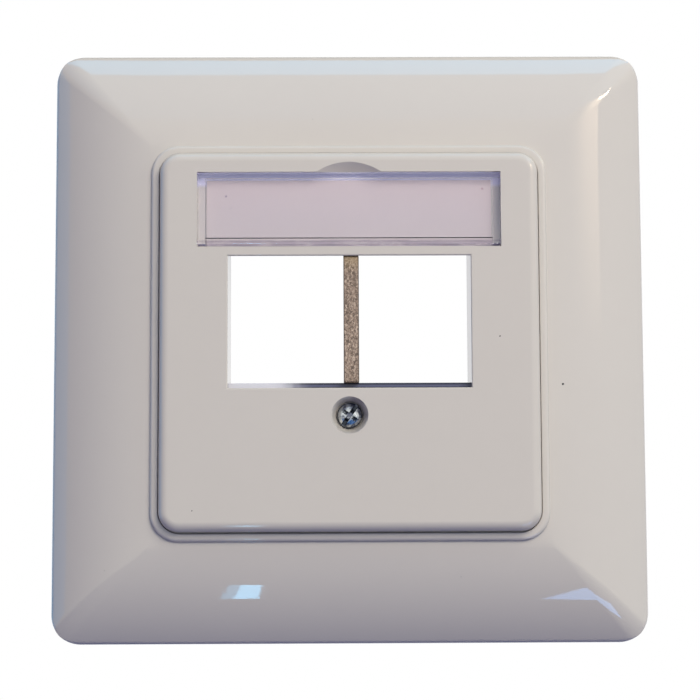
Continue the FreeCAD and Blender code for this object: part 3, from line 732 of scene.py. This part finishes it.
def zinc(name, finish, shape):
    """Mottled zinc plating with turning marks. Its dark and bright patches are painted reflections, and the
    dark ring round the rim and the dark ends of two arms of the recess are painted shade.
    """
    made, tree, shader, where = open_material(name)
    skin = skin_of(tree, where, finish.zinc, {"Tone": 0.35, "Tone Scale": 700.0, "Roughness": 0.18,
                                              "Gloss Drift": 0.22, "Skin Scale": 9000.0})
    patch = noise(tree, where, 850.0, 3.0, 0.55, 1.0)
    # painted reflection: dark and bright patches stand in for reflections of dark and bright surroundings in
    # the head
    tone = tint(tree, skin["Colour"], span(tree, patch, 0.52, 0.42), 0.8, (0.05, 0.06, 0.11))
    tone = tint(tree, tone, span(tree, patch, 0.55, 0.66), 0.8, (0.85, 0.87, 0.86))
    flat = vector_calc(tree, "MULTIPLY", where, (1, 0, 1)).outputs["Vector"]
    from_axis = vector_calc(tree, "DISTANCE", flat, (0, 0, SCREW_Y * MM)).outputs["Value"]
    axes = axes_of(tree, where)
    across = times(tree, axes["X"], calc(tree, "SUBTRACT", axes["Z"], SCREW_Y * MM))
    arms = times(tree, span(tree, across, -0.2 * MM ** 2, 0.2 * MM ** 2, 0.3, 0.95),
                 reach(tree, from_axis, 0.35, 0.60))
    # painted shade: the recess turns near black in two arms away from the axis, where the slot ends lie in
    # shade
    tone = tint(tree, tone, recess_shade_mask(tree, where, shape), arms, (0.02, 0.025, 0.035))
    # painted shade: a dark ring at the head's rim, for the shadow gap round the head
    tone = tint(tree, tone, reach(tree, from_axis, HEAD_R - 0.20, HEAD_R - 0.08), 0.8, (0.035, 0.040, 0.065))
    hair = hairs_of(tree, where, 900.0, 1.1)
    rough = calc(tree, "MULTIPLY_ADD", hair, 0.2, skin["Roughness"])
    surface(tree, shader, tone, rough, skin["Height"], 0.25, 0.00003, Metallic=1.0)
    return made


def dark_steel(name, finish):
    """Glossy blue-black steel strip. Its dark colour is painted shade for the shaded inside at the foot of
    the ports, the lighter line along its middle is a painted highlight and its brightening towards its left
    end is a painted reflection.
    """
    made, tree, shader, where = open_material(name)
    # the strip's dark base colour is painted shade
    skin = skin_of(tree, where, finish.steel, {"Tone": 0.5, "Tone Scale": 260.0, "Roughness": 0.24,
                                               "Gloss Drift": 0.15})
    tone = tint(tree, skin["Colour"], hairs_of(tree, where, 500.0, 1.5), 0.4, (0.20, 0.21, 0.26))
    axes = axes_of(tree, where)
    middle = apart(tree, axes["Z"], (high("catch_strip", 2) - 0.40) * MM)
    # painted highlight: a lighter blue line along the middle of the strip
    tone = tint(tree, tone, reach(tree, middle, 0.20, 0.08), 0.7, (0.11, 0.12, 0.22))
    left_reflection_mask = calc(tree, "MULTIPLY_ADD", noise(tree, where, 500.0), 0.004, axes["X"])
    # painted reflection: the strip turns light lilac-grey towards its left end
    tone = tint(tree, tone, reach(tree, left_reflection_mask, -2.5, -8.0), 0.93, (0.66, 0.65, 0.72))
    surface(tree, shader, tone, skin["Roughness"], skin["Height"], 0.15, 0.00005)
    return made


def milky(name, finish):
    """Milky washer plastic with light passing under its surface."""
    made, tree, shader, where = open_material(name)
    skin = skin_of(tree, where, finish.nylon, {"Tone": 0.10, "Tone Scale": 400.0, "Roughness": 0.38,
                                               "Gloss Drift": 0.1})
    surface(tree, shader, skin["Colour"], skin["Roughness"], skin["Height"], 0.1, 0.0001,
            Subsurface_Weight=0.25, Subsurface_Scale=0.0004)
    return made


def dress(thing, material):
    """Gives a piece one material."""
    thing.data.materials.clear()
    thing.data.materials.append(material)


def dress_node(name, material, width=0.0):
    """Gives a CAD node one material. Where a width in mm is given, modifiers merge the node's loose
    triangles and round its edges by that much."""
    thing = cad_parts[name]
    dress(thing, material)
    if width:
        thing.modifiers.new("merge", "WELD").merge_threshold = 2e-6
        rounding = thing.modifiers.new("edges", "BEVEL")
        rounding.width = width * MM
        rounding.segments = 2
        rounding.limit_method = "ANGLE"
        rounding.angle_limit = math.radians(SHARP_ANGLE)
        thing.modifiers.new("normals", "WEIGHTED_NORMAL").keep_sharp = True


# ---- operators
class FACEPLATE_OT_frame(bpy.types.Operator):
    """Build the domed frame with its collar, ledge and ribs"""
    bl_idname = "faceplate.frame"
    bl_label = "Domed frame"

    def execute(self, context):
        shape, _, finish, _ = settings(context)
        build = Build()
        half, corner, height = frame_section(shape)
        build.grid(level_lines(half, corner, height), closed_rows=True)
        add_ribs(build, shape)
        piece = build.finish("domed_frame", 38)
        dress(piece, plastic("frame_plastic", finish.shell, finish, ((28.25, -5.7, 7.79, 0.16),)))
        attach(piece, "housing")
        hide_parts("outer_frame")
        return {"FINISHED"}


class FACEPLATE_OT_plate(bpy.types.Operator):
    """Dress the centre plate"""
    bl_idname = "faceplate.plate"
    bl_label = "Centre plate"

    def execute(self, context):
        finish = settings(context)[2]
        specks = ((19.68, 0.4, PLATE_FACE, 0.10), (-20.5, -22.2, PLATE_FACE, 0.08))
        # the last colour is painted light on the top of the window's recess
        dress_node("centre_plate", plastic("plate_plastic", finish.plate, finish, specks, (0.80, 0.77, 0.90)))
        return {"FINISHED"}


class FACEPLATE_OT_divider(bpy.types.Operator):
    """Dress the brown divider between the ports"""
    bl_idname = "faceplate.divider"
    bl_label = "Port divider"

    def execute(self, context):
        dress_node("port_divider", board("divider_board", settings(context)[2]), 0.08)
        return {"FINISHED"}


class FACEPLATE_OT_catch(bpy.types.Operator):
    """Dress the dark strip along the foot of the ports"""
    bl_idname = "faceplate.catch"
    bl_label = "Catch strip"

    def execute(self, context):
        # the catch strip's dark colour is painted shade, its middle line a painted highlight and its light
        # left end a painted reflection
        dress_node("catch_strip", dark_steel("dark_steel", settings(context)[2]), 0.12)
        return {"FINISHED"}


class FACEPLATE_OT_window(bpy.types.Operator):
    """Dress the clear cover and the card behind it"""
    bl_idname = "faceplate.window"
    bl_label = "Label window"

    def execute(self, context):
        dress_node("label_cover", glass("clear_plastic"), 0.05)
        dress_node("label_card", card("label_card_paper", settings(context)[2]))
        return {"FINISHED"}


class FACEPLATE_OT_screw(bpy.types.Operator):
    """Build the captive screw and dress its washer"""
    bl_idname = "faceplate.screw"
    bl_label = "Fixing screw"

    def execute(self, context):
        _, shape, finish, _ = settings(context)
        rows = screw_rows(shape)
        places = upright(rows[..., 0], rows[..., 1] + SCREW_Y, rows[..., 2])
        build = Build()
        numbers = build.grid(places)
        build.pole(places[0].mean(axis=0), numbers[0], outward=True)
        build.pole(places[-1].mean(axis=0), numbers[-1], outward=False)
        piece = build.finish("cross_slot_screw", 50)
        dress(piece, zinc("zinc_plating", finish, shape))
        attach(piece, "screw")
        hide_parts("fixing_screw")
        dress_node("screw_washer", milky("washer_nylon", finish), 0.04)
        return {"FINISHED"}


# ---- stage
CAMERA_PLACE = (-0.001736, -0.234597, -0.021365)
CAMERA_TURN = (95.1090, 0.2361, -0.4374)
CAMERA_LENS = 88.416
KEY_DIRECTION = (0.354, -0.832, 0.428)
SKY_DIRECTION = (0.49, -0.60, 0.63)
KEY_DISTANCE = 0.55
KEY_SIZE = 0.26
FLOOR_SIDE = 1.4  # half the side of the floor
# corners of the small panes, in metres
PANE_BRIGHT = ((-0.0257, -0.1629, -0.1566), (-0.0202, -0.1629, -0.1569),
               (-0.0215, -0.1381, -0.1839), (-0.0274, -0.1382, -0.1836))
PANE_SIDE = ((-0.0286, -0.1630, -0.1564), (-0.0257, -0.1629, -0.1566),
             (-0.0274, -0.1382, -0.1836), (-0.0304, -0.1383, -0.1834))
PANE_CORNER = ((0.0487, -0.1348, -0.1853), (0.1600, -0.1280, -0.1900),
               (0.1600, -0.1620, -0.1580), (0.0616, -0.1557, -0.1626))


def look_along(direction):
    """Rotation that turns a lamp or card at a place along the direction to the origin."""
    return (-Vector(direction)).to_track_quat("-Z", "Y").to_euler()


def four_sided(name, corners):
    """An object of one face."""
    mesh = bpy.data.meshes.new(name)
    mesh.from_pydata([tuple(c) for c in corners], [], [(0, 1, 2, 3)])
    return add_object(name, mesh)


def light_card(name, corners, emission, fade=None):
    """A card of four corners that only shows in reflections. Where a fade is given, as the places
    along x and along z between which the card's own light sets in, it starts from plain white."""
    piece = four_sided(name, corners)
    made = bpy.data.materials.new(name)
    made.use_nodes = True
    tree = made.node_tree
    tree.nodes.clear()
    light = (*emission, 1)
    if fade:
        axes = axes_of(tree, node(tree, "ShaderNodeTexCoord").outputs["Object"])
        across = span(tree, axes["X"], *fade[0])
        up = span(tree, axes["Z"], *fade[1], smooth=False)
        light = blend(tree, times(tree, across, up), (1, 1, 1), emission)
    glow = node(tree, "ShaderNodeEmission", {"Color": light})
    out = node(tree, "ShaderNodeOutputMaterial")
    tree.links.new(glow.outputs[0], out.inputs["Surface"])
    piece.data.materials.append(made)
    for ray in ("camera", "diffuse", "transmission", "shadow"):
        setattr(piece, "visible_" + ray, False)


def facing_card(name, direction, distance, width, height, emission):
    """A card square to its direction from the origin."""
    turn = look_along(direction).to_matrix()
    middle = Vector(direction).normalized() * distance
    corners = [middle + turn @ Vector((x * width / 2, y * height / 2, 0))
               for x, y in ((-1, -1), (1, -1), (1, 1), (-1, 1))]
    light_card(name, corners, emission)


def flat_card(name, x, y, z, emission, fade=None):
    """A card square to one axis. Of x, y and z, two are pairs of places and one is a single place."""
    places = [np.atleast_1d(place) for place in (x, y, z)]
    first, second = (axis for axis in range(3) if places[axis].size == 2)
    corners = []
    for a, b in ((0, 0), (1, 0), (1, 1), (0, 1)):
        corner = [place[0] for place in places]
        corner[first], corner[second] = places[first][a], places[second][b]
        corners.append(corner)
    light_card(name, corners, emission, fade)


def hang_cards():
    """What the glossy plastic and the metal mirror: dim below, a bluish band above and at the left, a
    warm window with a hot part to the right and three small bluish panes low in front."""
    facing_card("low_card", (0.0, -0.25, -1.0), 0.24, 1.1, 0.8, (0.06, 0.16, 0.40))
    flat_card("under_card", (-0.6, 0.6), (0.0, 0.5), -0.30, (0.04, 0.07, 0.22))
    facing_card("high_card", (0.0, -0.30, 1.0), 0.40, 0.9, 0.5, (0.85, 1.05, 1.30))
    flat_card("high_band", (-0.6, 0.6), (-0.070, 0.0), 0.30, (0.80, 2.30, 3.70))
    flat_card("behind_card", (-0.6, 0.6), (0.0, 0.5), 0.30, (0.50, 0.55, 0.50))
    flat_card("left_band", -0.35, (-0.08, 0.40), (-0.15, 0.35), (0.35, 0.95, 1.50))
    flat_card("warm_window", (0.25, 0.565), -0.40, (0.04, 0.50), (6.6, 5.1, 3.7),
              ((0.25, 0.44), (0.05, 0.27)))
    flat_card("hot_window", (0.43, 0.600), -0.395, (0.29, 0.45), (22.0, 18.5, 13.5))
    light_card("low_pane", PANE_BRIGHT, (3.6, 9.0, 13.5))
    light_card("low_pane_side", PANE_SIDE, (0.8, 2.9, 4.8))
    light_card("corner_pane", PANE_CORNER, (1.7, 3.4, 6.6))


def studio_world(stage):
    """White where the camera, a reflection or clear plastic sees the world. Everything else gets a broad
    light that falls off with the cosine of the angle to its direction, and a faint bluish one."""
    world = bpy.data.worlds.new("studio")
    bpy.context.scene.world = world
    world.use_nodes = True
    tree = world.node_tree
    tree.nodes.clear()
    seen = seen_straight(tree)
    direction = node(tree, "ShaderNodeTexCoord").outputs["Generated"]
    sky = Vector(SKY_DIRECTION).normalized()
    cosine = vector_calc(tree, "DOT_PRODUCT", direction, sky).outputs["Value"]
    share_ = times(tree, calc(tree, "MAXIMUM", cosine, 0.0), stage.sky_strength)
    broad = node(tree, "ShaderNodeVectorMath", {0: (*stage.sky,), "Scale": share_}, operation="SCALE")
    total = vector_calc(tree, "ADD", broad.outputs[0], (*stage.ambient,))
    soft = node(tree, "ShaderNodeBackground", {"Color": total.outputs[0]})
    white = node(tree, "ShaderNodeBackground", {"Color": (1, 1, 1, 1)})
    mixed = node(tree, "ShaderNodeMixShader", {0: seen, 1: soft.outputs[0], 2: white.outputs[0]})
    out = node(tree, "ShaderNodeOutputWorld")
    tree.links.new(mixed.outputs[0], out.inputs["Surface"])


def floor_material():
    """Pale floor: half its light is its own, so that it shows white and keeps the object's shadow."""
    made, tree, shader, where = open_material("pale_floor")
    tone = span(tree, noise(tree, where, 3.0), 0.3, 0.7, 0.56, 0.58)
    grey = node(tree, "ShaderNodeCombineColor", {0: tone, 1: tone, 2: tone}).outputs[0]
    fill(tree, shader.inputs, {"Base Color": grey, "Roughness": 0.9, "Emission Color": (1, 1, 1, 1),
                               "Emission Strength": times(tree, seen_straight(tree), 0.52)})
    return made


class FACEPLATE_OT_stage(bpy.types.Operator):
    """Build the floor, the lights and the camera"""
    bl_idname = "faceplate.stage"
    bl_label = "Stage"

    def execute(self, context):
        stage = settings(context)[3]
        scene = context.scene
        scene.view_settings.view_transform = "Standard"

        data = bpy.data.cameras.new("camera")
        data.lens = CAMERA_LENS
        data.sensor_width = 36
        data.clip_start, data.clip_end = 0.01, 20
        camera = add_object("camera", data)
        camera.location = CAMERA_PLACE
        camera.rotation_euler = [math.radians(a) for a in CAMERA_TURN]
        scene.camera = camera

        side, level = FLOOR_SIDE, -stage.floor
        floor = four_sided("floor", [(-side, -side, level), (side, -side, level), (side, side, level),
                                     (-side, side, level)])
        floor.data.materials.append(floor_material())
        floor.visible_diffuse = False

        lamp = bpy.data.lights.new("key", "AREA")
        lamp.shape = "SQUARE"
        lamp.size = KEY_SIZE
        lamp.energy = stage.key
        lamp.color = stage.key_colour
        key = add_object("key", lamp)
        key.location = Vector(KEY_DIRECTION).normalized() * KEY_DISTANCE
        key.rotation_euler = look_along(KEY_DIRECTION)
        key.visible_camera = False
        key.visible_glossy = False

        hang_cards()
        studio_world(stage)
        return {"FINISHED"}


OPERATORS = (FACEPLATE_OT_frame, FACEPLATE_OT_plate, FACEPLATE_OT_divider, FACEPLATE_OT_catch,
             FACEPLATE_OT_window, FACEPLATE_OT_screw, FACEPLATE_OT_stage)


class FACEPLATE_PT_panel(bpy.types.Panel):
    """Lists the pieces of the faceplate."""
    bl_idname = "FACEPLATE_PT_panel"
    bl_label = "Faceplate"
    bl_space_type = "VIEW_3D"
    bl_region_type = "UI"
    bl_category = "Faceplate"

    def draw(self, context):
        for operator in OPERATORS:
            self.layout.operator(operator.bl_idname)
        for group_ in settings(context):
            box = self.layout.box()
            for name in group_.bl_rna.properties.keys():
                if name not in {"rna_type", "name"}:
                    box.prop(group_, name)


GROUP_CLASSES = {"faceplate_frame": FACEPLATE_PG_frame, "faceplate_screw": FACEPLATE_PG_screw,
                 "faceplate_finish": FACEPLATE_PG_finish, "faceplate_stage": FACEPLATE_PG_stage}
CLASSES = (*GROUP_CLASSES.values(), *OPERATORS, FACEPLATE_PT_panel)


def register():
    for made in CLASSES:
        bpy.utils.register_class(made)
    for name, made in GROUP_CLASSES.items():
        setattr(bpy.types.Scene, name, PointerProperty(type=made))


def unregister():
    for name in GROUP_CLASSES:
        delattr(bpy.types.Scene, name)
    for made in reversed(CLASSES):
        bpy.utils.unregister_class(made)


def main():
    register()
    for operator in OPERATORS:
        getattr(bpy.ops.faceplate, operator.bl_idname.split(".")[1])()


if __name__ == "__main__":
    main()
